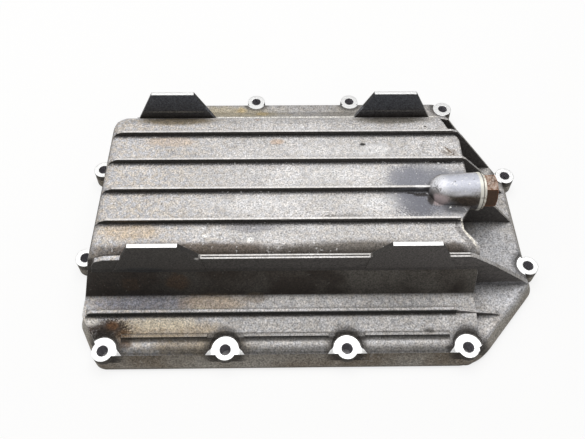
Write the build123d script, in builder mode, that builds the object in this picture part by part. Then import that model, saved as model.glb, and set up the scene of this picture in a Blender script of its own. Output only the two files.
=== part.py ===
from build123d import *
import os
from math import cos, radians, tan

os.makedirs("parts", exist_ok=True)

# ---- engine oil pan, upside down: sealing face on z = 0, sump bottom up, drain plug towards +X ----

# flange: outline of the lip, then a slope up to the level the bosses stand at
lip_height = 4.5
slope_top = 13.0
slope_angle = 30.5          # from vertical
floor_height = 14.0
floor_angle = 60.0
flange_front = -8.4
flange_back = 219.0
flange_left = -140.0
flange_right = 174.8
flange_corners = [
    (-123.9, flange_front),
    (127.8, flange_front),
    (flange_right, 42.5),
    (flange_right, 133.2),
    (133.2, flange_back),
    (-106.0, flange_back),
    (flange_left, 152.0),
    (flange_left, 20.1),
]
flange_corner_rounds = [8, 30, 12, 12, 12, 12, 12, 12]

# bolt holes, all alike
bolt_pitch = 80.0
hole_radius = 3.7
spot_radius = 9.7
spot_height = 13.0
ear_radius_base = 8.2
ear_radius_top = 7.1
scoop_section = [(9.7, 13.0), (12.0, 15.4), (15.0, 17.4), (19.0, 19.2), (19.0, 30.0)]
front_holes = [(-120.0, 0.0), (-40.0, 0.0), (40.0, 0.0), (120.0, 0.0)]
right_holes = [(173.5, 59.3), (173.5, 138.3)]
corner_hole = [(135.3, 208.9)]
back_holes = [(55.8, 218.0), (-24.2, 218.0), (-104.2, 218.0)]
left_holes = [(-143.4, 146.7), (-143.4, 68.5)]
side_holes = right_holes + corner_hole + back_holes + left_holes

# sump: plateau (the pan's bottom) and its walls
plateau_height = 55.0
wall = 4.0
roof_height = plateau_height - wall
front_shoulder = 12.0
back_shoulder = 17.0
end_x = 127.3
left_top_x = -125.2
left_foot_x = -135.2
left_draft = 0.28             # run per millimetre of height
left_shoulder = 6.0
end_shoulder = 2.5
shoulder_lift = 0.02          # the end section clears the plateau, so the tops never coincide
front_face_y = 45.2
back_face_y = 170.2

# ribs across the plateau stand on equally spaced planes
first_rib_y = 72.6
rib_pitch = 24.65
rib_height = 58.8
rib_thickness = 1.8
rib_foot_z = 46.0
gusset_thickness = 2.2
front_plate_y = 46.0
front_plate_height = 56.5
front_plate_thickness = 3.2
plate_groove = 0.7
groove_depth = 0.7
back_plate_height = 46.5
foot_height = 72.6
foot_thickness = 2.8
front_foot_y = 45.3          # stands a little proud of the front plate
rib_start_x = -126.0
rib_run_in = [(rib_start_x, rib_foot_z), (-125.6, 50.5), (-124.0, 54.2), (-121.0, 57.2), (-117.0, rib_height)]
back_plate_y = 170.0

# low ridges along the front ledge
ridge_y = 22.8
ridge_start_x = -131.5
ridge_end_x = 112.0
ridge_top = 24.0
ridge_thickness = 2.4
bead_y = 8.7
bead_top = 16.5
bead_thickness = 2.0
bead_gap = 12.0

# drain boss, bore and plug share one axis along X
drain_y = 96.0
drain_z = 54.0
boss_start_x = 97.5
boss_rim_x = 132.2
boss_rim_radius = 13.2
boss_root_radius = 11.7
boss_round = 9.0
bore_start_x = 120.0
pocket_start_x = 104.5
pocket_radius = 8.9
thread_radius = 8.0
thread_clearance = 0.05
face_clearance = 0.03
washer_radius = 12.2
washer_thickness = 1.8
hex_across = 21.0
hex_length = 8.5
hex_chamfer_angle = 25.0
plug_shank_end_x = 121.5
plug_tip_chamfer = 1.2

# ---- outlines used by both the outer form and the cavity ----
cavity_open_corners = [
    (-116.7, 9.5),
    (123.9, 9.5),
    (159.0, 47.5),
    (159.0, 131.4),
    (124.2, 203.0),
    (-97.3, 203.0),
    (-126.5, 145.4),
    (-126.5, 26.8),
]
cavity_floor_height = 9.5
cavity_corner = 6.0
cavity_open_corner = 8.0

sump_plan = [
    (-119.5, -4.5),
    (end_x, -4.5),
    (end_x, 43.0),
    (125.2, 47.0),
    (125.2, 54.0),
    (117.0, 65.0),
    (117.0, 73.0),
    (end_x, 87.0),
    (end_x, 140.0),
    (119.3, 152.0),
    (115.0, 165.0),
    (115.0, 176.0),
    (122.0, 184.0),
    (122.0, 206.0),
    (-106.5, 206.0),
    (-117.0, 168.0),
    (left_foot_x, 141.0),
    (left_foot_x, 21.5),
]
sump_plan_rounds = [0, 2, 2, 3, 5, 5, 6, 6, 8, 8, 4, 3, 4, 6, 8, 14, 10, 4]

sump_side = [
    (-4.4, 8.0),
    (-4.2, 12.3),
    (-1.0, 13.6),
    (5.0, 14.4),
    (8.5, 15.0),
    (20.0, 19.0),
    (34.5, 21.0),
    (front_face_y, plateau_height - 15.0),
    (front_face_y, plateau_height),
    (back_face_y, plateau_height),
    (back_face_y + 2.0, plateau_height - 21.0),
    (182.0, 21.0),
    (195.0, 19.5),
    (205.0, 14.0),
    (210.0, 8.0),
]
sump_side_rounds = [0, 2, 4, 0, 6, 6, 3, 2, front_shoulder, back_shoulder, 4, 4, 3, 0, 0]

cavity_left_x = -127.2
cavity_plan = [
    (-115.0, 9.5),
    (end_x - wall, 9.5),
    (end_x - wall, 40.0),
    (121.0, 45.0),
    (121.0, 52.0),
    (112.8, 63.5),
    (112.8, 74.5),
    (end_x - wall, 88.5),
    (end_x - wall, 138.0),
    (115.0, 150.5),
    (110.8, 164.0),
    (110.8, 203.0),
    (-100.0, 203.0),
    (-112.0, 168.0),
    (cavity_left_x, 146.0),
    (cavity_left_x, 26.0),
]
cavity_side = [
    (9.5, -1.0),
    (9.5, 9.5),
    (20.0, 14.8),
    (36.5, 17.0),
    (front_face_y + wall, roof_height - 11.0),
    (front_face_y + wall, roof_height),
    (back_face_y - wall, roof_height),
    (back_face_y - wall + 1.5, roof_height - 17.0),
    (179.5, 17.0),
    (194.0, 15.2),
    (203.0, 9.5),
    (203.0, -1.0),
]
cavity_side_rounds = [0, 0, 3, 5, 5, front_shoulder - wall, back_shoulder - wall, 5, 5, 3, 0, 0]

# profiles of the upright plates, each drawn in its own plane (x, z)
plate_foot = 10.0
rib_rear_profile = [
    *rib_run_in, (121.0, rib_height),
    (125.4, 57.4), (130.6, 51.8), (147.3, 31.6), (162.5, 13.0), (162.5, plate_foot), (119.0, plate_foot),
    (119.0, rib_foot_z),
]
rib_middle_profile = [
    *rib_run_in, (124.5, rib_height),
    (127.3, 57.2), (140.6, 43.8), (167.7, 13.5), (167.7, plate_foot), (122.0, plate_foot),
    (122.0, rib_foot_z),
]
rib_drain_profile = [*rib_run_in, (102.0, rib_height), (102.0, rib_foot_z)]
gusset_drain_profile = [
    (125.0, 40.4), (144.0, 39.4), (150.2, 34.5), (168.6, 13.5), (168.6, plate_foot), (125.0, plate_foot),
]
rib_front_profile = [*rib_run_in, (115.0, rib_height), (118.0, rib_foot_z)]
front_plate_profile = [
    (-127.0, 38.0), (-124.2, 48.5), (-121.5, 52.8), (-115.0, 55.3), (-103.0, 56.0),
    (-60.0, front_plate_height), (117.0, front_plate_height), (120.5, 55.2), (124.6, 52.0),
    (137.9, 42.0), (158.6, 24.3), (169.8, 14.0), (169.8, plate_foot), (124.0, plate_foot), (124.0, 38.0),
]
back_plate_profile = [
    (-112.0, 36.0), (-112.0, back_plate_height), (117.0, back_plate_height),
    (125.7, 44.2), (134.4, 32.6), (148.4, 13.5), (148.4, plate_foot), (106.0, plate_foot), (106.0, 36.0),
]
foot_front_profile = [(51.9, 39.0), (54.0, 58.5), (65.5, foot_height), (96.0, foot_height), (113.0, 39.5)]
foot_back_profile = [(52.0, 40.0), (52.0, 45.5), (65.5, foot_height), (96.0, foot_height), (111.5, 44.5),
                     (111.5, 40.0)]

# every plate: profile, plane it stands on, thickness
plates = [
    (front_plate_profile, front_plate_y, front_plate_thickness),
    (rib_front_profile, first_rib_y, rib_thickness),
    (rib_drain_profile, first_rib_y + rib_pitch, rib_thickness),
    (gusset_drain_profile, drain_y, gusset_thickness),
    (rib_middle_profile, first_rib_y + 2 * rib_pitch, rib_thickness),
    (rib_rear_profile, first_rib_y + 3 * rib_pitch, rib_thickness),
    (back_plate_profile, back_plate_y, gusset_thickness),
]


# sump and ledges: side section, end section and plan meet in one body
with BuildPart() as sump:
    with BuildSketch(Plane.YZ):
        with BuildLine():
            FilletPolyline(*sump_side, radius=sump_side_rounds, close=True)
        make_face()
    extrude(amount=140, both=True)
    with BuildSketch(Plane.XZ.offset(-105)):
        with BuildLine():
            FilletPolyline(
                (left_top_x - left_draft * (plateau_height - 8), 8),
                (left_top_x, plateau_height + shoulder_lift),
                (end_x, plateau_height + shoulder_lift),
                (end_x + 0.8, 8),
                radius=[0, left_shoulder, end_shoulder, 0],
                close=True,
            )
        make_face()
    extrude(amount=125, both=True, mode=Mode.INTERSECT)
    with BuildSketch(Plane.XY):
        with BuildLine():
            FilletPolyline(*sump_plan, radius=sump_plan_rounds, close=True)
        make_face()
    extrude(amount=60, mode=Mode.INTERSECT)


# cavity: deep under the sump, shallow under the flange floor
with BuildPart() as deep_cavity:
    with BuildSketch(Plane.YZ):
        with BuildLine():
            FilletPolyline(*cavity_side, radius=cavity_side_rounds, close=True)
        make_face()
    extrude(amount=140, both=True)
    with BuildSketch(Plane.XZ.offset(-105)):
        with BuildLine():
            Polyline(
                (cavity_left_x, -1),
                (cavity_left_x, 29),
                (left_top_x + wall + 1.1, plateau_height),
                (end_x - wall, plateau_height),
                (end_x - wall, -1),
                close=True,
            )
        make_face()
    extrude(amount=125, both=True, mode=Mode.INTERSECT)
    with BuildSketch(Plane.XY.offset(-1)):
        with BuildLine():
            FilletPolyline(*cavity_plan, radius=cavity_corner, close=True)
        make_face()
    extrude(amount=60, mode=Mode.INTERSECT)


with BuildPart() as pan_casting:
    # flange: upright lip, slope all round, slight rise to the floor level
    with BuildSketch(Plane.XY):
        with BuildLine():
            FilletPolyline(*flange_corners, radius=flange_corner_rounds, close=True)
        make_face()
    extrude(amount=lip_height)
    extrude(faces().sort_by(Axis.Z)[-1], amount=slope_top - lip_height, taper=slope_angle)
    extrude(faces().sort_by(Axis.Z)[-1], amount=floor_height - slope_top, taper=floor_angle)

    # ears round the side and back holes, bosses inside the front lip
    for x, y in side_holes + front_holes:
        with BuildSketch(Plane.XY):
            with Locations((x, y)):
                Circle(ear_radius_base)
        with BuildSketch(Plane.XY.offset(spot_height)):
            with Locations((x, y)):
                Circle(ear_radius_top)
        loft()

    add(sump.part)
    add(deep_cavity.part, mode=Mode.SUBTRACT)
    with BuildSketch(Plane.XY):
        with BuildLine():
            FilletPolyline(*cavity_open_corners, radius=cavity_open_corner, close=True)
        make_face()
    extrude(amount=cavity_floor_height, mode=Mode.SUBTRACT)

    # ribs, gussets and feet: upright plates on the rib planes
    for profile, plane_y, thickness in plates:
        with BuildSketch(Plane.XZ.offset(-plane_y)):
            with BuildLine():
                Polyline(*profile, close=True)
            make_face()
        extrude(amount=thickness / 2, both=True)
    for profile, plane_y in [(foot_front_profile, front_foot_y), (foot_back_profile, back_plate_y)]:
        with BuildSketch(Plane.XZ.offset(-plane_y)) as foot:
            with BuildLine():
                Polyline(*profile, close=True)
            make_face()
            mirror(about=Plane.YZ)
        extrude(amount=foot_thickness / 2, both=True)

    # groove along the front plate's top, clear of the feet
    for start_x, stop_x in [(-53.0, 53.0), (103.5, 119.0)]:
        with BuildSketch(Plane.XY.offset(front_plate_height - groove_depth)):
            with Locations(((start_x + stop_x) / 2, front_plate_y)):
                Rectangle(stop_x - start_x, plate_groove)
        extrude(amount=3, mode=Mode.SUBTRACT)

    # long ridge with its run-out, and the bead broken at every front hole
    with BuildSketch(Plane.XZ.offset(-ridge_y)):
        with BuildLine():
            Polyline(
                (ridge_start_x, 16.0),
                (ridge_start_x, ridge_top - 2.0),
                (ridge_start_x + 3.0, ridge_top),
                (ridge_end_x, ridge_top),
                (127.5, 19.8),
                (141.0, 17.2),
                (147.5, 12.0),
                close=True,
            )
        make_face()
    extrude(amount=ridge_thickness / 2, both=True)
    for x, y in front_holes[:-1]:
        with BuildSketch(Plane.XZ.offset(-bead_y)):
            with Locations((x + bolt_pitch / 2, bead_top - 4)):
                Rectangle(bolt_pitch - 2 * bead_gap, 8)
        extrude(amount=bead_thickness / 2, both=True)

    # drain boss
    with BuildSketch(Plane.XZ.offset(-drain_y)):
        with BuildLine():
            boss_line = Polyline(
                (boss_start_x, drain_z),
                (boss_rim_x, drain_z),
                (boss_rim_x, drain_z + boss_rim_radius),
                (boss_start_x + boss_round, drain_z + boss_root_radius),
            )
            RadiusArc(boss_line @ 1, boss_line @ 0, -boss_root_radius)
        make_face()
    revolve(axis=Axis((0, drain_y, drain_z), (1, 0, 0)))
    with BuildSketch(Plane.XZ.offset(-drain_y)):
        with BuildLine():
            Polyline((end_x - 1, 22), (boss_rim_x - 0.5, 42.5), (end_x - 1, 52), close=True)
        make_face()
    extrude(amount=6.5, both=True)
    with BuildSketch(Plane.YZ.offset(pocket_start_x)):
        with Locations((drain_y, drain_z)):
            Circle(pocket_radius)
        with Locations((drain_y, drain_z - 13)):
            Rectangle(2 * pocket_radius, 26)
    extrude(amount=bore_start_x - pocket_start_x, mode=Mode.SUBTRACT)
    with BuildSketch(Plane.YZ.offset(bore_start_x - 1)):
        with Locations((drain_y, drain_z)):
            Circle(thread_radius + thread_clearance)
    extrude(amount=20, mode=Mode.SUBTRACT)

    # bolt holes, spot faces and the scooped clearance behind the front ones
    with BuildSketch(Plane.XY.offset(-1)):
        with Locations(*front_holes, *side_holes):
            Circle(hole_radius)
    extrude(amount=30, mode=Mode.SUBTRACT)
    with BuildSketch(Plane.XY.offset(spot_height)):
        with Locations(*side_holes):
            Circle(spot_radius)
    extrude(amount=20, mode=Mode.SUBTRACT)
    for x, y in front_holes:
        with BuildSketch(Plane.XZ.offset(-y)):
            with BuildLine():
                Polyline(
                    (x, spot_height),
                    *[(x + run, height) for run, height in scoop_section],
                    (x, 30.0),
                    close=True,
                )
            make_face()
        revolve(axis=Axis((x, y, 0), (0, 0, 1)), mode=Mode.SUBTRACT)

pan_casting.part.label = "pan_casting"
export_step(pan_casting.part, "parts/pan_casting.step")


with BuildPart() as sealing_washer:
    with BuildSketch(Plane.YZ.offset(boss_rim_x + face_clearance)):
        with Locations((drain_y, drain_z)):
            Circle(washer_radius)
            Circle(thread_radius + thread_clearance, mode=Mode.SUBTRACT)
    extrude(amount=washer_thickness)

sealing_washer.part.label = "sealing_washer"
export_step(sealing_washer.part, "parts/sealing_washer.step")


with BuildPart() as drain_plug:
    # hexagon with corners fore and aft, outer end turned to a chamfer
    head_start_x = boss_rim_x + washer_thickness + 2 * face_clearance
    head_end_x = head_start_x + hex_length
    hex_corner = hex_across / 2 / cos(radians(30))
    with BuildSketch(Plane.YZ.offset(head_start_x)):
        with Locations((drain_y, drain_z)):
            RegularPolygon(hex_corner, 6)
    extrude(amount=hex_length)
    chamfer_run = (hex_corner - hex_across / 2 + 0.8) * tan(radians(hex_chamfer_angle))
    with BuildSketch(Plane.XZ.offset(-drain_y)):
        with BuildLine():
            Polyline(
                (head_start_x, drain_z),
                (head_end_x, drain_z),
                (head_end_x, drain_z + hex_across / 2 - 0.8),
                (head_end_x - chamfer_run, drain_z + hex_corner),
                (head_start_x, drain_z + hex_corner),
                close=True,
            )
        make_face()
    revolve(axis=Axis((0, drain_y, drain_z), (1, 0, 0)), mode=Mode.INTERSECT)

    # shank
    with BuildSketch(Plane.YZ.offset(plug_shank_end_x)):
        with Locations((drain_y, drain_z)):
            Circle(thread_radius)
    extrude(amount=head_start_x - plug_shank_end_x)
    tip = edges().filter_by(GeomType.CIRCLE).sort_by(Axis.X)[0]
    chamfer(tip, plug_tip_chamfer)

drain_plug.part.label = "drain_plug"
export_step(drain_plug.part, "parts/drain_plug.step")
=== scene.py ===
import bpy
import math
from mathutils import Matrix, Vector


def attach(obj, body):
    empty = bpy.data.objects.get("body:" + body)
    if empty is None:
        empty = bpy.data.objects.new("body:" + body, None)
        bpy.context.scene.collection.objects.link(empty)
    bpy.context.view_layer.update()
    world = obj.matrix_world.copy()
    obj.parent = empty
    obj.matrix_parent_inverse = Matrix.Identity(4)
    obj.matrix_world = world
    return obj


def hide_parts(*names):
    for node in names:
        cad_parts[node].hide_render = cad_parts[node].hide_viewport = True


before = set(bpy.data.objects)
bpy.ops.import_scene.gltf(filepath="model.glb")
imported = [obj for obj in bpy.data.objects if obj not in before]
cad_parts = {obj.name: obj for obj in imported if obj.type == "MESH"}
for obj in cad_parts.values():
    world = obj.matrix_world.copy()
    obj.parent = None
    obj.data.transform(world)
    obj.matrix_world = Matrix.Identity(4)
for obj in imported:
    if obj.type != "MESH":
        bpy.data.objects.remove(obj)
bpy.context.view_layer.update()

mm = 0.001
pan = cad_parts["pan_casting"]
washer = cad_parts["sealing_washer"]
print("frame loaded")

# camera, floor and lights

cameraSetup = {
    "place": (0.1 * mm, -113.4 * mm, 363.2 * mm),
    "pitch": 58.72,       # degrees below the horizon
    "yaw": 1.42,          # degrees to the right of +Y
    "roll": 0.80,
    "sensor": 36.0, "lens": 33.65, "nearest": 0.01,
}
lightSetup = {
    "top": {"place": (0.05, 0.55, 1.5), "aim": (0.0, 0.1, 0.0), "size": (1.6, 1.2), "watts": 20.0},
    "left": {"place": (-1.2, 0.1, 0.9), "aim": (0.0, 0.1, 0.0), "size": (1.0, 1.0), "watts": 4.0},
    "front": {"place": (0.2, -1.3, 0.9), "aim": (0.0, 0.1, 0.0), "size": (1.6, 1.0), "watts": 0.8},
}
worldSetup = {"fill": 0.28, "background": 1.0}
floorSetup = {
    "half": 3.0, "level": -0.1 * mm, "colour": "#F6F5F3",
    "white": 0.80, "shade": (0.15, 0.60), "shadeReach": 12 * mm,       # glow in the open, faded out where it is shaded
    "covered": 0.03, "windowCentre": (5 * mm, 108 * mm), "windowHalf": (113 * mm, 98 * mm),
}


def hexColour(code):
    parts = [int(code[i:i + 2], 16) / 255 for i in (1, 3, 5)]
    return tuple(c / 12.92 if c <= 0.04045 else ((c + 0.055) / 1.055) ** 2.4 for c in parts) + (1.0,)


def addNode(tree, kind, settings=None, links=None):
    node = tree.nodes.new(kind)
    for name, value in (settings or {}).items():
        if isinstance(name, int) or name in node.inputs:
            node.inputs[name].default_value = value
        else:
            setattr(node, name, value)
    for name, source in (links or {}).items():
        tree.links.new(source if hasattr(source, "is_output") else source.outputs[0], node.inputs[name])
    return node


# numbers, vectors and hex colours go straight on the sockets, nodes and sockets are linked
def sortValues(values):
    constants, links = {}, {}
    for slot, value in values.items():
        if isinstance(value, str):
            constants[slot] = hexColour(value)
        elif isinstance(value, (int, float, tuple, Vector)):
            constants[slot] = value
        else:
            links[slot] = value
    return constants, links


def calculate(tree, operation, *values, kind="ShaderNodeMath", **settings):
    constants, links = sortValues(dict(enumerate(values)))
    return addNode(tree, kind, {"operation": operation, **settings, **constants}, links)


def inSpace(tree, operation, *values):
    return calculate(tree, operation, *values, kind="ShaderNodeVectorMath")


def chain(tree, operation, first, *others):
    for other in others:
        first = calculate(tree, operation, first, other)
    return first


def mapped(tree, value, start, end, low=0.0, high=1.0, smooth=False):
    return addNode(tree, "ShaderNodeMapRange",
                   {"interpolation_type": "SMOOTHSTEP" if smooth else "LINEAR", "From Min": start, "From Max": end,
                    "To Min": low, "To Max": high}, {"Value": value})


def paint(tree, share, under, over, blend="MIX"):
    constants, links = sortValues({6: under, 7: over})
    mix = addNode(tree, "ShaderNodeMix", {"data_type": "RGBA", "blend_type": blend, **constants}, {0: share, **links})
    return mix.outputs[2]


def noise(tree, spot, scale, detail, roughness):
    return addNode(tree, "ShaderNodeTexNoise", {"Scale": scale, "Detail": detail, "Roughness": roughness}, {"Vector": spot})


def newMaterial(name):
    material = bpy.data.materials.new(name)
    material.use_nodes = True
    tree = material.node_tree
    tree.nodes.clear()
    return material, tree


def inMillimetres(tree):
    place = addNode(tree, "ShaderNodeTexCoord")
    spot = addNode(tree, "ShaderNodeVectorMath", {"operation": "SCALE", "Scale": 1 / mm}, {0: place.outputs["Object"]})
    return place, spot, addNode(tree, "ShaderNodeSeparateXYZ", {}, {0: spot}).outputs


# cosine between the true normal and one rounded over the given distance: below 1 near an edge
def edgeBend(tree, radius):
    rounded = addNode(tree, "ShaderNodeBevel", {"samples": 6, "Radius": radius})
    geometry = addNode(tree, "ShaderNodeNewGeometry")
    return rounded, inSpace(tree, "DOT_PRODUCT", rounded, geometry.outputs["Normal"]).outputs["Value"]


def deselectAll():
    bpy.ops.object.select_all(action="DESELECT")


scene = bpy.context.scene
scene.view_settings.view_transform = "Standard"

cameraData = bpy.data.cameras.new("camera")
cameraData.sensor_width = cameraSetup["sensor"]
cameraData.lens = cameraSetup["lens"]
cameraData.clip_start = cameraSetup["nearest"]
camera = bpy.data.objects.new("camera", cameraData)
scene.collection.objects.link(camera)
pitch = math.radians(cameraSetup["pitch"])
yaw = math.radians(cameraSetup["yaw"])
look = Vector((math.sin(yaw) * math.cos(pitch), math.cos(yaw) * math.cos(pitch), -math.sin(pitch)))
camera.matrix_world = look.to_track_quat("-Z", "Y").to_matrix().to_4x4()
camera.rotation_euler.rotate_axis("Z", math.radians(cameraSetup["roll"]))
camera.location = cameraSetup["place"]
scene.camera = camera

for lampName, setup in lightSetup.items():
    lampData = bpy.data.lights.new(lampName, "AREA")
    lampData.shape = "RECTANGLE"
    lampData.size, lampData.size_y = setup["size"]
    lampData.energy = setup["watts"]
    lamp = bpy.data.objects.new(lampName, lampData)
    lamp.location = setup["place"]
    aim = Vector(setup["aim"]) - Vector(setup["place"])
    lamp.rotation_euler = aim.to_track_quat("-Z", "Y").to_euler()
    scene.collection.objects.link(lamp)

world = bpy.data.worlds.new("studio")
world.use_nodes = True
scene.world = world
tree = world.node_tree
tree.nodes.clear()
path = addNode(tree, "ShaderNodeLightPath")
seen = calculate(tree, "MAXIMUM", path.outputs["Is Camera Ray"], path.outputs["Is Transmission Ray"])
strength = mapped(tree, seen, 0.0, 1.0, worldSetup["fill"], worldSetup["background"])
sky = addNode(tree, "ShaderNodeBackground", {"Color": (1, 1, 1, 1)}, {"Strength": strength})
addNode(tree, "ShaderNodeOutputWorld", {}, {"Surface": sky})

# floor: white to the camera but for the shadow close to the part; from below it is clear, and
# under the pan it lets light through, so that the joint face and the inside can be seen and lit
deselectAll()
bpy.ops.mesh.primitive_plane_add(size=2 * floorSetup["half"], location=(0, 0, floorSetup["level"]))
floor = bpy.context.object
floor.name = "floor"
floorMaterial, tree = newMaterial("paper_backdrop")
seen = addNode(tree, "ShaderNodeLightPath").outputs["Is Camera Ray"]
openSky = addNode(tree, "ShaderNodeAmbientOcclusion", {"samples": 16, "Distance": floorSetup["shadeReach"]})
openSky = openSky.outputs["AO"]
clear = mapped(tree, openSky, *floorSetup["shade"], high=floorSetup["white"])
fromBelow = addNode(tree, "ShaderNodeNewGeometry").outputs["Backfacing"]
place = addNode(tree, "ShaderNodeTexCoord")
x, y, z = addNode(tree, "ShaderNodeSeparateXYZ", {}, {0: place.outputs["Object"]}).outputs
window = chain(tree, "MULTIPLY", *(calculate(tree, "COMPARE", value, centre, half) for value, centre, half in
                                   zip((x, y), floorSetup["windowCentre"], floorSetup["windowHalf"])))
covered = calculate(tree, "LESS_THAN", openSky, floorSetup["covered"])
lightOnly = calculate(tree, "SUBTRACT", 1.0, seen)
through = calculate(tree, "MULTIPLY", calculate(tree, "MAXIMUM", window, covered), lightOnly)
through = calculate(tree, "MAXIMUM", fromBelow, through)
clear = calculate(tree, "MULTIPLY", clear, calculate(tree, "SUBTRACT", 1.0, window))
share = calculate(tree, "MULTIPLY", seen, clear)
matte = addNode(tree, "ShaderNodeBsdfDiffuse", {"Color": hexColour(floorSetup["colour"])})
glow = addNode(tree, "ShaderNodeEmission", {"Color": (1, 1, 1, 1), "Strength": 1.0})
mixed = addNode(tree, "ShaderNodeMixShader", {}, {0: share, 1: matte, 2: glow})
nothing = addNode(tree, "ShaderNodeBsdfTransparent")
surface = addNode(tree, "ShaderNodeMixShader", {}, {0: through, 1: mixed, 2: nothing})
addNode(tree, "ShaderNodeOutputMaterial", {}, {"Surface": surface})
floor.data.materials.append(floorMaterial)
print("camera, floor and lights set")

# pan: sand-cast aluminium, blasted after casting, so it is matt and grainy, with machined faces left bright,
# painted shade on its upright walls, and old oil stains; all lengths below are in mm

panShape = {
    "flangeTop": 13.0, "plateau": 55.0, "plateTop": 56.5, "ribTop": 58.8, "footTop": 72.6,
    "firstRib": 71.7, "ribPitch": 24.65, "ribZone": (108.0, 43.5),            # middle of the plateau and half its width
    "bossAxis": (0, 96, 54), "bossRadius": 13.0, "middle": 108.0,
    "frontHoles": [(-120, 0), (-40, 0), (40, 0), (120, 0)],
    "sideHoles": [(173.5, 59.3), (173.5, 138.3), (135.3, 208.9), (55.8, 218), (-24.2, 218), (-104.2, 218),
                  (-143.4, 146.7), (-143.4, 68.5)],
    "frontSpot": 8.9, "sideSpot": 8.1, "drill": 3.75,                         # radii
}
castSetup = {
    "clean": "#C3C1C0", "pale": "#E2E0E0", "dull": "#8F8B88", "fleck": "#5B5752", "bareSpeck": "#F4F3F2",
    "warmTint": "#D8BE94", "coolTint": "#9DA3B4",
    # wall, plate and slope colours are painted shade for the upright faces; their stain colours are old oil
    "wallShadeLeft": "#3E3934", "wallShadeRight": "#76716A", "wallStain": "#33271D",
    "plateShadeLeft": "#3D3A37", "plateShadeRight": "#585452", "slope": "#9A958D", "slopeStain": "#75695A",
    "scoopShade": "#2C2723", "ribShadow": "#3A393B", "cornerShade": "#3B352E", "sealantAndContactShadow": "#1B1917",
    "footSideShade": "#262422", "burr": "#F1EEE3", "creviceShade": "#3A2F27", "wornEdgeAndHighlight": "#EDEBE9",
    "machined": "#F2F2F1", "ribTop": "#D8D5D2", "drilled": "#A9A7AC", "jointFace": "#C9C9C8",
    "grainBump": 0.45, "machinedBump": 0.08, "bumpDepth": 0.35, "machinedRough": 0.32,
    "edgeWidth": 0.7, "cornerReach": 9, "ribFray": 3.0, "coarseShare": 0.22, "cloudToSpecks": 0.35, "mottleHeight": 0.35,
    "linesBelow": 43.0, "dirtAbove": 8.0,      # heights that bound the lines of dirt and the dirt round the holes
    "levelFrom": 0.97, "faceDepth": 0.12,      # a face counts as level, and as being at its height
    "wingSlope": -1.15, "wingDepth": 11.4, "wingReach": 13.6, "wingBack": 1.8, "wingAbove": 12.95,
    "footSides": (58.9, 72.4), "footFromMiddle": 55.0, "bossWall": 0.9, "plateauDepth": 1.5,
}
# texture scale per mm, detail, roughness
castNoise = {
    "grain": (1 / 1.1, 3.0, 0.65), "mottle": (1 / 6.0, 4.0, 0.6), "cloud": (1 / 34.0, 3.0, 0.55),
    "tint": (1 / 3.2, 3.0, 0.7), "coarse": (0.36, 2.0, 0.6), "fleck": (0.55, 2.0, 0.5), "rubbed": (0.42, 2.5, 0.6),
}
# where an effect starts and where it ends, and its share at both
castRanges = {
    "pale": (0.45, 0.75, 0.0, 0.65), "dull": (0.50, 0.78, 0.0, 0.60), "fleck": (0.66, 0.74, 0.0, 0.7),
    "warm": (0.42, 0.58), "tintAtLeft": (-20.0, -110.0, 0.10, 0.24), "acrossX": (-120.0, 110.0),
    "steep": (0.58, 0.84, 1.0, 0.0), "aboveFlange": (12.9, 13.3), "slope": (13.3, 12.9), "plate": (0.30, 0.05),
    "stained": (0.42, 0.62, 0.0, 0.8), "scoopShade": (9.5, 17.0, 0.85, 0.0), "holeRimShade": (9.0, 14.0, 0.75, 0.0),
    "ribShadowFade": (1.9, 5.2, 0.85, 0.0), "seam": (0.9, 1.8, 0.9, 0.0), "corner": (0.25, 0.80, 0.65, 0.0),
    "edge": (0.94, 0.78, 0.0, 0.55), "openness": (0.55, 0.85), "offPlate": (0.0, 1.0, 1.0, 0.2),
    "grainShade": (0.34, 0.66, 0.50, 1.46), "rubbed": (0.80, 0.90, 0.0, 0.75), "rubbedHeight": (16.0, 45.0, 0.15, 1.0),
    "footSlant": (0.12, 0.25, 0.0, 0.85), "turned": (129.2, 129.9, 0.0, 0.92), "burrGaps": (0.35, 0.5, 0.4, 1.0),
    "creviceShade": (131.5, 131.8, 0.0, 0.85), "rough": (0.0, 1.0, 0.62, 0.80), "metal": (0.0, 1.0, 0.55, 0.0),
}

# painted shade in lines along the front, in front of the bead and the ridge, at the foot of the wall and on the lip:
# share of the skin's own tone at each Y, and the X range of the line
lineSpan = (-10.0, 50.0)        # Y covered by the ramps
shadeLines = [
    {"within": (-200.0, 200.0),      # slope of the lip
     "stops": [(-8.0, 0.92), (-5.0, 0.80), (-3.6, 0.72), (-3.0, 0.30), (-0.5, 0.26), (0.8, 0.42), (3.2, 0.92),
               (5.0, 1.0)]},
    {"within": (-133.0, 113.5),      # both sides of the ridge
     "stops": [(19.4, 1.0), (20.3, 0.45), (20.8, 0.15), (21.9, 0.15), (22.2, 0.95), (23.5, 1.0), (24.0, 0.35),
               (25.0, 0.40), (26.4, 0.9), (27.4, 1.0)]},
    {"within": (-200.0, 130.0), "stops": [(31.0, 1.0), (33.0, 0.82), (35.0, 0.45), (44.0, 0.72)]},       # foot of the wall
    {"within": (130.0, 200.0), "stops": [(33.0, 1.0), (42.0, 0.84)]},      # flange beyond it
    {"within": (-108.5, 108.5),      # before and behind the bead
     "stops": [(4.2, 1.0), (5.6, 0.24), (7.0, 0.10), (7.75, 0.25), (7.85, 0.70), (9.4, 0.62), (10.2, 0.45),
               (11.2, 1.05), (15.0, 1.0)]},
]
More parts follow.
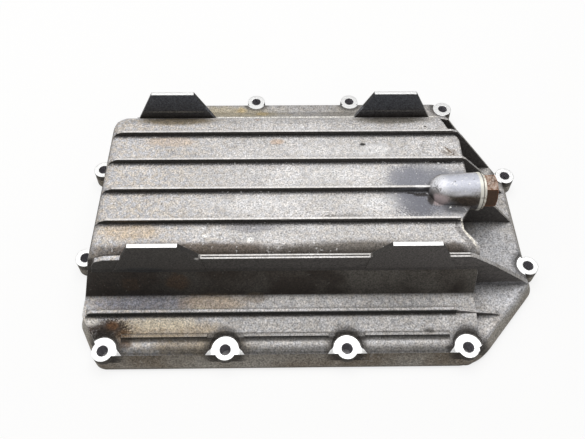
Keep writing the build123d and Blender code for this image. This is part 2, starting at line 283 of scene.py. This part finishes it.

# patches of oil, dirt and wear, and some of painted shade and highlight: centre, half size, colour, strength, how
# ragged the rim is, how much the grain frays it, how far the grain is smoothed
patches = [
    ((102, 97, 55), (38, 27, 5), "#888990", 0.93, 0.5, 0, 0.75),   # wiped smooth round the boss
    ((88, 84, 55), (16, 12, 5), "#6F7078", 0.75, 0.9, 2.0, 0),
    ((84, 108, 55), (16, 10, 5), "#85868E", 0.7, 0.9, 2.0, 0),
    # painted shadow under the front of the boss
    ((117, 81.5, 55), (14, 4.5, 4), "#3F3F43", 0.75, 0.5, 0, 0),
    ((119, 96, 66), (26, 11, 10), "#CFD1DB", 0.95, 0.25, 0, 0.9),   # boss: painted highlight along its top,
    # painted highlight on the boss's upper side
    ((103, 96, 63), (8, 10, 7), "#F6F6FA", 0.75, 0.3, 2.2, 0),
    ((101, 90, 58), (6, 7, 7), "#56504B", 0.75, 0.3, 1.8, 0),
    # painted highlight streak along the boss's upper front
    ((120, 88.5, 61), (12, 2.2, 3), "#F1F1F6", 0.7, 0.2, 2.0, 0),
    ((104, 87.0, 58), (8, 4.5, 5), "#BDADAD", 0.95, 0.3, 0, 0.8),   # bruised at its left end
    ((122, 85, 58), (13, 4, 6), "#40342B", 0.9, 0.8, 0, 0),   # and oily below
    ((-60, 52, 53), (80, 6.5, 9), "#544637", 0.85, 0.4, 0, 0),   # painted shade, brownish, in the valley behind the front plate
    ((50, 51.5, 53), (80, 7.0, 9), "#5F5850", 0.88, 0.4, 0, 0),
    ((-103, 66, 55), (24, 7, 8), "#C9AE86", 0.4, 0.8, 0, 0),
    ((-85, 12, 17), (48, 9, 8), "#B0976B", 0.55, 0.8, 0, 0),   # oil on the front ledge
    ((-60, 2, 14), (40, 7, 4), "#857250", 0.6, 0.8, 0, 0),
    ((-80, 17, 18), (26, 6, 5), "#E6DCC6", 0.5, 0.9, 0, 0),
    ((-119, 14, 16), (18, 8, 10), "#33241B", 0.92, 0.6, 1.5, 0),
    ((-128, 18, 17), (7, 3, 6), "#E9E4DC", 0.7, 0.3, 3.0, 0),
    ((-106, 8.5, 14), (8, 5, 5), "#6E5133", 0.6, 0.8, 0, 0),
    ((-98, 30, 20), (42, 7, 6), "#676877", 0.6, 0.6, 0, 0),
    ((-48, 30, 20), (26, 7, 6), "#B09570", 0.5, 0.8, 0, 0),
    ((-20, 33, 20), (10, 4, 6), "#7C6A52", 0.5, 0.8, 0, 0),
    ((-45, 203, 17), (60, 14, 9), "#C9BA93", 0.55, 0.9, 0, 0),   # back ledge
    ((150, 58, 13), (26, 42, 6), "#D2D4DB", 0.4, 0.6, 0, 0),
    ((60, 200, 17), (30, 14, 9), "#A39D90", 0.45, 0.9, 0, 0),
    ((-80, 161, 54), (34, 6, 6), "#7A683F", 0.7, 0.5, 0, 0),   # in front of the back feet
    ((80, 161, 54), (34, 6, 6), "#6A6353", 0.7, 0.5, 0, 0),
    # painted shade on the front faces of the back feet and the rim between them
    ((0, 169.5, 66), (160, 3.5, 24), "#5C5F66", 0.95, 0.1, 0, 0),
    # painted highlight along the foot of each back foot; between them, painted shade on the back wall below the
    # plateau's rear edge
    ((-80, 168.0, 55), (40, 0.9, 1.5), "#B5B0A8", 0.7, 0.2, 0, 0),
    ((0, 173, 40), (140, 2.2, 16), "#2B2926", 0.8, 0.1, 0, 0),
    ((80, 168.0, 55), (40, 0.9, 1.5), "#A5A09A", 0.55, 0.2, 0, 0),
    ((109, 120.0, 55), (9, 0.9, 3), "#232327", 0.9, 0.9, 0, 0),   # scored under the third rib
    ((93, 92.5, 55), (6, 1.6, 3), "#2A2523", 0.85, 0.9, 0, 0),
    ((98.5, 89, 55), (2.5, 5, 4), "#2A2523", 0.85, 0.5, 0, 0),
    ((92, 97.2, 59), (5.5, 1.3, 3), "#F4F3F4", 0.95, 0.3, 0, 0),
    ((-20, 68, 55), (22, 4, 5), "#77777D", 0.55, 0.9, 0, 0),
    ((38, 74, 55), (18, 5, 5), "#77746F", 0.5, 0.9, 0, 0),
    ((117, 129, 55), (9, 5, 5), "#7C6E60", 0.55, 0.9, 0, 0),
    ((108, 51, 54), (12, 6, 6), "#4B4137", 0.75, 0.7, 0, 0),
    ((-72, 40.5, 31), (9, 8, 7), "#5A4129", 0.6, 0.9, 0, 0),   # rust bloom on the front wall
    ((-103, 39, 30), (8, 8, 6), "#4F3C2A", 0.55, 0.9, 0, 0),
    ((-92, 42, 42), (20, 8, 5), "#23272B", 0.6, 0.8, 0, 0),
    ((-55.6, 46, 57.5), (2.2, 3.0, 2.4), "#F2F0EC", 0.9, 0.5, 0, 0),
    ((29.7, 76.2, 55), (4.5, 1.8, 3), "#77736E", 0.8, 0.7, 0, 0),
    ((-0.2, 71.8, 58), (4, 2.2, 3), "#77736E", 0.7, 0.7, 0, 0),
    ((-52, 61.7, 54), (3.5, 2.0, 3), "#F1EFEB", 0.8, 0.8, 0, 0),
    ((-22.8, 58.5, 54), (3.0, 2.2, 3), "#F1EFEB", 0.8, 0.8, 0, 0),
    ((-20, 163, 55), (5.0, 3.0, 3), "#A8835C", 0.6, 0.9, 0, 0),
    ((-114.8, 15.8, 16), (5, 4, 5), "#6A4A30", 0.75, 0.6, 0, 0),
    ((-57.2, 24.9, 20), (5, 2.5, 5), "#E4DAC2", 0.7, 0.7, 0, 0),
    ((-105.6, 3.6, 14), (6, 3, 4), "#5C4630", 0.75, 0.7, 0, 0),
    ((107.6, -0.4, 13), (5, 2.5, 4), "#3A342D", 0.7, 0.7, 0, 0),
    ((95.1, 10.6, 15), (4, 2.5, 4), "#4A443C", 0.7, 0.7, 0, 0),
    ((-37.6, 207.4, 17), (9, 5, 5), "#D5B878", 0.6, 0.7, 0, 0),
    ((-18.9, 202.8, 17), (7, 5, 5), "#D9C08A", 0.6, 0.7, 0, 0),
    ((66, 131, 55), (13, 6, 3), "#F4F3F3", 0.45, 0.9, 3.5, 0),   # rubbed bright in places
    ((28, 132, 55), (30, 6, 3), "#F1F0F0", 0.24, 0.9, 3.5, 0),
    ((38, 110, 55), (34, 8, 3), "#F4F3F3", 0.24, 0.9, 3.5, 0),
    ((-22, 85, 55), (34, 7, 3), "#F4F3F3", 0.24, 0.9, 3.5, 0),
    ((58, 86, 55), (24, 7, 3), "#F4F3F3", 0.24, 0.9, 3.5, 0),
    ((-5.4, 139.5, 55), (6, 3, 3), "#C9A27C", 0.4, 0.8, 0, 0),
    ((-84, 140, 55), (20, 5, 3), "#C9AE92", 0.35, 0.9, 0, 0),
    ((56, 136.7, 55), (2.6, 1.5, 3), "#24211F", 0.95, 0.3, 0, 0),   # blow holes
    ((103.4, 153.3, 55), (1.3, 0.9, 3), "#3A3633", 0.9, 0.3, 0, 0),
]

# fine lines: path, width, colour, strength, how much the grain frays them
strokes = [
    ([(-113, 167.0, 47.7), (113, 167.0, 47.7)], 1.7, "#35312D", 0.85, 0.4),        # painted shade on the rim behind the plateau; the next two are painted highlight along its top
    ([(-110, 168.3, 46.4), (-50, 168.3, 46.4)], 1.0, "#D9D4CC", 0.8, 0.4),
    ([(-50, 170.2, 46.5), (113, 170.2, 46.5)], 1.6, "#E4E1DA", 0.9, 0.4),
    ([(-95, 219.2, 7), (118, 219.2, 7)], 3.2, "#3F3A30", 0.75, 0.6),               # rear edge of the back ledge
    ([(112.5, 68.5, 55), (114.2, 64.5, 55), (116.2, 60.0, 55), (119.0, 55.8, 55), (121.0, 51.0, 55)],
     2.6, "#7E7A78", 0.75, 1.5),                                                   # band inside the sunken corner's rim
    # painted highlight along the rounded rim of the sunken corner
    ([(113.5, 72.6, 57.5), (116.4, 72.2, 55.5), (116.6, 68.9, 55), (116.8, 65.5, 55), (118.5, 61.3, 55),
      (121, 57.4, 55), (123.3, 52.6, 55), (124.3, 49.8, 54.5), (124.8, 46.6, 53)], 1.0, "#E6E0D4", 0.95, 0.4),
    ([(101.9, 121.4, 55), (106, 120.4, 55), (110, 121.0, 55), (116.5, 119.4, 55)], 0.9, "#26262A", 0.9, 2.5),
    ([(84, 94.2, 55), (90, 93.4, 55), (95, 93.6, 55)], 0.9, "#26221F", 0.9, 3.0),  # scores beside the boss
    ([(96.5, 92, 56), (97.5, 87, 56), (101, 83.6, 56), (107, 82.4, 56)], 0.9, "#2B2622", 0.9, 2.0),
    ([(112, 135, 55), (116, 130, 55)], 0.7, "#EDE9E2", 0.7, 2.0),
    ([(115, 134, 55), (120, 127, 55)], 0.7, "#6E5A45", 0.8, 2.0),
]

castMaterial, tree = newMaterial("blasted_cast_aluminium")
place, spot, (x, y, z) = inMillimetres(tree)
facing = addNode(tree, "ShaderNodeSeparateXYZ", {}, {0: place.outputs["Normal"]})


def castShare(name, value, smooth=False):
    return mapped(tree, value, *castRanges[name], smooth=smooth)


grain, mottle, cloud, tint, coarse, fleck, rubbed = (noise(tree, spot, *values) for values in castNoise.values())
fineGrain = calculate(tree, "SUBTRACT", grain, 0.5)        # about 0
rag = calculate(tree, "ADD", mottle, cloud)                # about 1, for frayed rims

# as-cast skin: clean, paler and duller areas
skin = paint(tree, castShare("pale", cloud), castSetup["clean"], castSetup["pale"])
skin = paint(tree, castShare("dull", mottle), skin, castSetup["dull"])

# warm and cool stains, strongest at the left where oil was baked on
warmth = paint(tree, castShare("warm", tint), castSetup["coolTint"], castSetup["warmTint"])
skin = paint(tree, castShare("tintAtLeft", x, smooth=True), skin, warmth)

# painted shade on the upright walls and the plates, darker towards the left, with old oil stains over it, and on the
# slope of the lip
slant = calculate(tree, "ABSOLUTE", facing.outputs["Z"])
steep = castShare("steep", slant)
upright = calculate(tree, "MULTIPLY", steep, castShare("aboveFlange", z))
stained = castShare("stained", cloud)
acrossX = castShare("acrossX", x)
wallShadeColour = paint(tree, acrossX, castSetup["wallShadeLeft"], castSetup["wallShadeRight"])
wallShadeColour = paint(tree, stained, wallShadeColour, castSetup["wallStain"])
plateShadeColour = paint(tree, acrossX, castSetup["plateShadeLeft"], castSetup["plateShadeRight"])
onPlate = castShare("plate", slant)
skin = paint(tree, upright, skin, paint(tree, onPlate, wallShadeColour, plateShadeColour))
# the slope of the lip: a lighter painted shade than the walls, with stains
slopeColour = paint(tree, stained, castSetup["slope"], castSetup["slopeStain"])
skin = paint(tree, calculate(tree, "MULTIPLY", castShare("slope", z), steep), skin, slopeColour)

rimFrom, rimTo = 0.5, 1.1        # a patch is full up to the first and gone at the second, in half sizes
calmShares = []
for at, size, colour, strength, ragged, fine, calm in patches:
    scaled = inSpace(tree, "DIVIDE", inSpace(tree, "SUBTRACT", spot, at), size)
    reach = inSpace(tree, "LENGTH", scaled).outputs["Value"]
    frayed = calculate(tree, "MULTIPLY_ADD", rag, ragged, reach)
    if fine:
        frayed = calculate(tree, "MULTIPLY_ADD", fineGrain, fine, frayed)
    cover = mapped(tree, frayed, rimFrom + ragged, rimTo + ragged, strength, 0.0, smooth=True)
    skin = paint(tree, cover, skin, colour)
    if calm:
        calmShares.append(calculate(tree, "MULTIPLY", cover, calm))
grainFlatShare = chain(tree, "MAXIMUM", *calmShares)

along = mapped(tree, y, *lineSpan)
low = calculate(tree, "LESS_THAN", z, castSetup["linesBelow"])
for line in shadeLines:
    ramp = addNode(tree, "ShaderNodeValToRGB", {}, {0: along})
    while len(ramp.color_ramp.elements) < len(line["stops"]):
        ramp.color_ramp.elements.new(0.5)
    for element, (stop, tone) in zip(ramp.color_ramp.elements, line["stops"]):
        element.position = (stop - lineSpan[0]) / (lineSpan[1] - lineSpan[0])
        element.color = (tone, tone * (0.98 + 0.02 * tone), tone * (0.94 + 0.06 * tone), 1.0)      # dark is browner
    west = calculate(tree, "GREATER_THAN", x, line["within"][0])
    east = calculate(tree, "LESS_THAN", x, line["within"][1])
    skin = paint(tree, chain(tree, "MULTIPLY", low, west, east), skin, ramp, "MULTIPLY")

for corners, width, colour, strength, fine in strokes:
    gaps = []
    for start, end in zip(corners, corners[1:]):
        run = Vector(end) - Vector(start)
        away = inSpace(tree, "SUBTRACT", spot, start)
        share = inSpace(tree, "DOT_PRODUCT", away, run / run.length_squared).outputs["Value"]
        share = calculate(tree, "ADD", share, 0.0, use_clamp=True)
        foot = addNode(tree, "ShaderNodeVectorMath", {"operation": "SCALE", 0: run}, {"Scale": share})
        gaps.append(inSpace(tree, "DISTANCE", away, foot).outputs["Value"])
    frayed = calculate(tree, "MULTIPLY_ADD", fineGrain, fine, chain(tree, "MINIMUM", *gaps))
    skin = paint(tree, mapped(tree, frayed, width * 0.4, width * 1.2, strength, 0.0, smooth=True), skin, colour)

# distance from the nearest bolt hole, at the front and at the sides
flat = inSpace(tree, "MULTIPLY", spot, (1, 1, 0))
toFront, toSide = (chain(tree, "MINIMUM", *(inSpace(tree, "DISTANCE", flat, (*hole, 0)).outputs["Value"]
                                            for hole in panShape[holes])) for holes in ("frontHoles", "sideHoles"))
overHoles = calculate(tree, "GREATER_THAN", z, castSetup["dirtAbove"])

# painted shade in the scoops behind the front holes and round the others
for name, reach in (("scoopShade", toFront), ("holeRimShade", toSide)):
    share = calculate(tree, "MULTIPLY", castShare(name, reach, smooth=True), overHoles)
    skin = paint(tree, share, skin, castSetup["scoopShade"])

# painted shadow in front of each rib, fading out over a few millimetres
before = calculate(tree, "SUBTRACT", panShape["firstRib"], y)
before = calculate(tree, "FLOORED_MODULO", before, panShape["ribPitch"])
before = calculate(tree, "MULTIPLY_ADD", grain, castSetup["ribFray"], before)
ribShadowFade = castShare("ribShadowFade", before, smooth=True)
ribZone = calculate(tree, "COMPARE", y, *panShape["ribZone"])
onTop = calculate(tree, "COMPARE", z, panShape["plateau"], castSetup["plateauDepth"])
skin = paint(tree, chain(tree, "MULTIPLY", ribShadowFade, ribZone, onTop), skin, castSetup["ribShadow"])

# painted shade in the corners, from the occlusion, and pale convex edges, partly wear and partly painted highlight
rounded, bend = edgeBend(tree, castSetup["edgeWidth"] * mm)
hollow = addNode(tree, "ShaderNodeAmbientOcclusion", {"samples": 8, "Distance": castSetup["cornerReach"] * mm})
hollow = hollow.outputs["AO"]
edge = chain(tree, "MULTIPLY", castShare("edge", bend), castShare("openness", hollow), castShare("offPlate", onPlate))
skin = paint(tree, castShare("corner", hollow), skin, castSetup["cornerShade"])
skin = paint(tree, edge, skin, castSetup["wornEdgeAndHighlight"])

# grain of the blasted skin, and dark flecks
coarse = calculate(tree, "MULTIPLY_ADD", coarse, castSetup["coarseShare"], -castSetup["coarseShare"] / 2)
grainShade = castShare("grainShade", calculate(tree, "ADD", grain, coarse))
grainShade = addNode(tree, "ShaderNodeMix", {"data_type": "FLOAT", 3: 1.0}, {0: grainFlatShare, 2: grainShade})
skin = addNode(tree, "ShaderNodeVectorMath", {"operation": "SCALE"}, {0: skin, "Scale": grainShade})
skin = paint(tree, castShare("fleck", fleck), skin, castSetup["fleck"])

# bare bright specks where the skin is rubbed, thickest in the paler areas and few low down
rubbedShare = castShare("rubbed", calculate(tree, "MULTIPLY_ADD", cloud, castSetup["cloudToSpecks"], rubbed))
notUpright = calculate(tree, "SUBTRACT", 1.0, upright)
rubbedShare = chain(tree, "MULTIPLY", rubbedShare, notUpright, castShare("rubbedHeight", z))
skin = paint(tree, rubbedShare, skin, castSetup["bareSpeck"])

# hole walls are drilled, and the lip's lowest millimetre is black: painted contact shadow with old sealant and oil
drilled = calculate(tree, "LESS_THAN", calculate(tree, "MINIMUM", toFront, toSide), panShape["drill"])
skin = paint(tree, drilled, skin, castSetup["drilled"])
skin = paint(tree, calculate(tree, "MULTIPLY", castShare("seam", z), upright), skin, castSetup["sealantAndContactShadow"])

# wings of the front spot faces run out to a point along the edge of the slope
halfPitch = (panShape["frontHoles"][1][0] - panShape["frontHoles"][0][0]) / 2
toPlane = calculate(tree, "ADD", x, 5 * halfPitch)
toPlane = calculate(tree, "PINGPONG", toPlane, halfPitch)       # distance in X to the nearest hole
wingDepth = calculate(tree, "MULTIPLY_ADD", toPlane, castSetup["wingSlope"], castSetup["wingDepth"])
wing = chain(tree, "MULTIPLY", calculate(tree, "LESS_THAN", y, wingDepth),
             calculate(tree, "LESS_THAN", toFront, castSetup["wingReach"]),
             calculate(tree, "LESS_THAN", y, castSetup["wingBack"]),
             calculate(tree, "GREATER_THAN", z, castSetup["wingAbove"]))
skin = paint(tree, wing, skin, castSetup["machined"])

# painted shade: the slanted sides of the feet are as dark as their faces
fromMiddle = calculate(tree, "ABSOLUTE", calculate(tree, "SUBTRACT", y, panShape["middle"]))
sideFrom, sideTo = castSetup["footSides"]
footSideShade = chain(tree, "MULTIPLY", calculate(tree, "GREATER_THAN", z, sideFrom), calculate(tree, "LESS_THAN", z, sideTo),
                 calculate(tree, "GREATER_THAN", fromMiddle, castSetup["footFromMiddle"]), castShare("footSlant", slant))
skin = paint(tree, footSideShade, skin, castSetup["footSideShade"])

# the boss's end is turned, with a pale burr, and painted shade in the crevice against the washer
bossAxis = inSpace(tree, "DISTANCE", inSpace(tree, "MULTIPLY", spot, (0, 1, 1)), panShape["bossAxis"]).outputs["Value"]
onBoss = calculate(tree, "COMPARE", bossAxis, panShape["bossRadius"], castSetup["bossWall"])
turned = chain(tree, "MULTIPLY", castShare("turned", x), onBoss, castShare("burrGaps", mottle))
skin = paint(tree, turned, skin, castSetup["burr"])
skin = paint(tree, calculate(tree, "MULTIPLY", castShare("creviceShade", x), onBoss), skin, castSetup["creviceShade"])

# machined and ground faces: spot faces, foot tops, the joint face underneath; and a painted highlight, with some wear,
# on the rib tops and the top of the front plate
level = calculate(tree, "GREATER_THAN", slant, castSetup["levelFrom"])
faces = [      # height, colour, strength, distance from a hole and its limit
    (panShape["flangeTop"], "machined", 0.95, toFront, panShape["frontSpot"]),
    (panShape["flangeTop"], "machined", 0.95, toSide, panShape["sideSpot"]),
    (panShape["footTop"], "machined", 0.95, None, None),
    # rib tops and the top of the front plate: painted highlight with some wear
    (panShape["ribTop"], "ribTop", 0.45, None, None),
    (panShape["plateTop"], "ribTop", 0.45, None, None),
    (0.0, "jointFace", 0.90, None, None),
]
shares = []
for height, colour, strength, reach, limit in faces:
    off = calculate(tree, "ABSOLUTE", calculate(tree, "SUBTRACT", z, height))
    share = calculate(tree, "MULTIPLY", calculate(tree, "LESS_THAN", off, castSetup["faceDepth"]), level)
    if reach:
        share = calculate(tree, "MULTIPLY", share, calculate(tree, "LESS_THAN", reach, limit))
    share = calculate(tree, "MULTIPLY", share, strength)
    skin = paint(tree, share, skin, castSetup[colour])
    shares.append(share)
machined = chain(tree, "MAXIMUM", *shares)

height = calculate(tree, "MULTIPLY_ADD", mottle, castSetup["mottleHeight"], grain)
rough = addNode(tree, "ShaderNodeMix", {"data_type": "FLOAT", 3: castSetup["machinedRough"]},
                {0: machined, 2: castShare("rough", upright)})
relief = mapped(tree, machined, 0.0, 1.0, castSetup["grainBump"], castSetup["machinedBump"])
bump = addNode(tree, "ShaderNodeBump", {"Distance": castSetup["bumpDepth"] * mm},
               {"Height": height, "Strength": relief, "Normal": rounded})
shader = addNode(tree, "ShaderNodeBsdfPrincipled", {},
                 {"Base Color": skin, "Roughness": rough, "Metallic": castShare("metal", upright), "Normal": bump})
addNode(tree, "ShaderNodeOutputMaterial", {}, {"Surface": shader})

# washer: plain aluminium, gone dull and chalky with old oil, so it is pale cream with brown specks

washerSetup = {
    "cream": "#EFEBE0", "brown": "#8D7A5E", "speckNoise": (0.7, 3.0, 0.65), "speckRange": (0.42, 0.58, 0.0, 0.85),
    "dirtyBelow": (62.0, 44.0, -0.10, 0.10),      # from its top to its foot
    "rough": 0.5, "metal": 0.4, "bump": 0.4, "bumpDepth": 0.15,
}
washerMaterial, tree = newMaterial("plain_aluminium")
place, spot, (x, y, z) = inMillimetres(tree)
speck = noise(tree, spot, *washerSetup["speckNoise"])
speck = calculate(tree, "ADD", speck, mapped(tree, z, *washerSetup["dirtyBelow"]))
skin = paint(tree, mapped(tree, speck, *washerSetup["speckRange"]), washerSetup["cream"], washerSetup["brown"])
bump = addNode(tree, "ShaderNodeBump", {"Distance": washerSetup["bumpDepth"] * mm, "Strength": washerSetup["bump"]},
               {"Height": speck})
shader = addNode(tree, "ShaderNodeBsdfPrincipled", {"Roughness": washerSetup["rough"], "Metallic": washerSetup["metal"]},
                 {"Base Color": skin, "Normal": bump})
addNode(tree, "ShaderNodeOutputMaterial", {}, {"Surface": shader})

# plug: turned steel bar, hexagon rolled, gone brown, with orange rust on the corners and bare scratches on the flats

plugSetup = {
    "axis": (96.0, 54.0),            # y and z of the bore
    "headFrom": 134.1, "headLength": 8.5, "acrossFlats": 21.0, "chamferAngle": 25.0, "chamferFlat": 0.8,
    "cornerRound": 0.35, "sharpFrom": 22, "smoothBelow": 30, "overlap": 0.5,
    "shankTo": 121.5, "tipChamfer": 0.8, "crestRadius": 8.0, "rootRadius": 7.1, "pitch": 1.5, "threadEnd": 132.9,
    "runOut": 1.6, "toothStart": 0.9, "sunk": 0.15, "toothX": (0.10, 0.62, 0.82, 1.34), "stepsPerTurn": 28,
    "brown": "#8A6A55", "dark": "#5E4839", "rust": "#A6602E", "bare": "#D8C9BE", "oil": "#4A382B", "shank": "#77736E",
    "blotchNoise": (0.35, 4.0, 0.65), "scratchNoise": (1.1, 3.0, 0.7), "scratchStretch": (0.7, 0.5, 0.5),
    "metal": 0.45, "bump": 0.4, "bumpDepth": 0.12, "edgeWidth": 0.8,
}
plugRanges = {
    "dark": (0.40, 0.62), "litUpperFlats": (0.6, 0.9, -0.30, 0.03), "bare": (0.42, 0.70, 0.0, 0.70),
    "oily": (0.85, 0.65, 0.0, 0.8), "rusty": (0.995, 0.93, 0.0, 0.85), "rustGaps": (0.35, 0.55),
    "inBore": (134.0, 133.2, 0.0, 0.8), "rough": (0.0, 1.0, 0.65, 0.38),
}


def applyModifiers(piece):
    bpy.context.view_layer.objects.active = piece
    for modifier in list(piece.modifiers):
        bpy.ops.object.modifier_apply(modifier=modifier.name)


def unite(piece, other, operation="UNION"):
    cut = piece.modifiers.new("join", "BOOLEAN")
    cut.operation = operation
    cut.solver = "EXACT"
    cut.object = other
    applyModifiers(piece)
    bpy.data.objects.remove(other, do_unlink=True)


def profileRing(name, profile):        # a closed outline in the XZ plane: x and radius in mm
    deselectAll()
    bpy.ops.mesh.primitive_circle_add(vertices=len(profile), radius=mm)
    piece = bpy.context.object
    piece.name = name
    for vertex, (along, radius) in zip(piece.data.vertices, profile):
        vertex.co = (along * mm, 0, radius * mm)
    return piece


def turnedPiece(name, profile, steps=64):        # the outline runs from axis to axis
    piece = profileRing(name, profile)
    bpy.ops.object.mode_set(mode="EDIT")
    bpy.ops.mesh.select_all(action="SELECT")
    bpy.ops.mesh.spin(steps=steps, angle=2 * math.pi, center=(0, 0, 0), axis=(1, 0, 0))
    bpy.ops.mesh.select_all(action="SELECT")
    bpy.ops.mesh.remove_doubles(threshold=0.01 * mm)
    bpy.ops.mesh.dissolve_degenerate(threshold=0.001 * mm)
    bpy.ops.mesh.normals_make_consistent(inside=False)
    bpy.ops.object.mode_set(mode="OBJECT")
    return piece


headFrom = plugSetup["headFrom"]
headTo = headFrom + plugSetup["headLength"]
flatRadius = plugSetup["acrossFlats"] / 2
cornerRadius = flatRadius / math.cos(math.radians(30))
deselectAll()
bpy.ops.mesh.primitive_cylinder_add(vertices=6, radius=cornerRadius * mm, depth=plugSetup["headLength"] * mm,
                                    location=((headFrom + headTo) / 2 * mm, 0, 0), rotation=(0, math.pi / 2, 0))
head = bpy.context.object
head.name = "drain_plug_detailed"
bpy.ops.object.transform_apply(location=True, rotation=True, scale=True)

# a blunt cone turns the chamfer on the hexagon's outer end
chamferFlat = plugSetup["chamferFlat"]
overlap = plugSetup["overlap"]
chamferSlope = math.tan(math.radians(plugSetup["chamferAngle"]))
chamferFrom = headTo - (cornerRadius - flatRadius + chamferFlat) * chamferSlope
bluntCone = turnedPiece("blunt_cone", [
    (headFrom - 2, 0), (headTo + overlap, 0), (headTo + overlap, flatRadius - chamferFlat - overlap / chamferSlope),
    (chamferFrom, cornerRadius), (chamferFrom - 0.2, cornerRadius + 1), (headFrom - 2, cornerRadius + 1)])
unite(head, bluntCone, "INTERSECT")
soft = head.modifiers.new("worn_corners", "BEVEL")
soft.width = plugSetup["cornerRound"] * mm
soft.segments = 3
soft.limit_method = "ANGLE"
soft.angle_limit = math.radians(plugSetup["sharpFrom"])
applyModifiers(head)

# the shank's core, then a helical ridge for the thread
shankTo = plugSetup["shankTo"]
rootRadius = plugSetup["rootRadius"]
core = turnedPiece("shank_core", [
    (shankTo, 0), (shankTo, rootRadius - plugSetup["tipChamfer"]), (shankTo + plugSetup["tipChamfer"], rootRadius),
    (headFrom + overlap, rootRadius), (headFrom + overlap, 0)])
unite(head, core)
turns = int((plugSetup["threadEnd"] - shankTo - plugSetup["runOut"]) / plugSetup["pitch"])
foot = rootRadius - plugSetup["sunk"]
toothRadii = (foot, plugSetup["crestRadius"], plugSetup["crestRadius"], foot)
ridge = profileRing("thread_ridge", [(shankTo + plugSetup["toothStart"] + across, radius)
                                     for across, radius in zip(plugSetup["toothX"], toothRadii)])
winding = ridge.modifiers.new("winding", "SCREW")
winding.axis = "X"
winding.angle = 2 * math.pi * turns
winding.screw_offset = plugSetup["pitch"] * turns * mm
winding.steps = winding.render_steps = plugSetup["stepsPerTurn"] * turns
applyModifiers(ridge)
bpy.ops.object.mode_set(mode="EDIT")
bpy.ops.mesh.select_all(action="SELECT")
bpy.ops.mesh.fill_holes(sides=4)
bpy.ops.mesh.normals_make_consistent(inside=False)
bpy.ops.object.mode_set(mode="OBJECT")
unite(head, ridge)
deselectAll()
head.location = (0, plugSetup["axis"][0] * mm, plugSetup["axis"][1] * mm)
head.select_set(True)
bpy.context.view_layer.objects.active = head
bpy.ops.object.transform_apply(location=True, rotation=True, scale=True)
bpy.ops.object.shade_smooth_by_angle(angle=math.radians(plugSetup["smoothBelow"]))
print("plug modelled,", sum(len(p.vertices) - 2 for p in head.data.polygons), "triangles")

plugMaterial, tree = newMaterial("rusted_steel")
place, spot, (x, y, z) = inMillimetres(tree)
facing = addNode(tree, "ShaderNodeSeparateXYZ", {}, {0: place.outputs["Normal"]})


def plugShare(name, value):
    return mapped(tree, value, *plugRanges[name])


blotch = noise(tree, spot, *plugSetup["blotchNoise"])
scratch = noise(tree, inSpace(tree, "MULTIPLY", spot, plugSetup["scratchStretch"]), *plugSetup["scratchNoise"])
skin = paint(tree, plugShare("dark", blotch), plugSetup["brown"], plugSetup["dark"])
litUpperFlats = plugShare("litUpperFlats", facing.outputs["Z"])        # upper flats painted lighter, as if lit from above, through more bare scratches
bare = plugShare("bare", calculate(tree, "ADD", scratch, litUpperFlats))
skin = paint(tree, bare, skin, plugSetup["bare"])
skin = paint(tree, plugShare("oily", facing.outputs["Z"]), skin, plugSetup["oil"])        # painted shade on the lower flats
rounded, bend = edgeBend(tree, plugSetup["edgeWidth"] * mm)
rusty = calculate(tree, "MULTIPLY", plugShare("rusty", bend), plugShare("rustGaps", blotch))
skin = paint(tree, rusty, skin, plugSetup["rust"])
skin = paint(tree, plugShare("inBore", x), skin, plugSetup["shank"])        # oiled, so not rusted
bump = addNode(tree, "ShaderNodeBump", {"Distance": plugSetup["bumpDepth"] * mm, "Strength": plugSetup["bump"]},
               {"Height": scratch})
shader = addNode(tree, "ShaderNodeBsdfPrincipled", {"Metallic": plugSetup["metal"]},
                 {"Base Color": skin, "Roughness": plugShare("rough", bare), "Normal": bump})
addNode(tree, "ShaderNodeOutputMaterial", {}, {"Surface": shader})
head.data.materials.clear()
head.data.materials.append(plugMaterial)
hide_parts("drain_plug")
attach(head, "plug")

for node, material in ((pan, castMaterial), (washer, washerMaterial)):
    node.data.materials.clear()
    node.data.materials.append(material)
print("materials made")
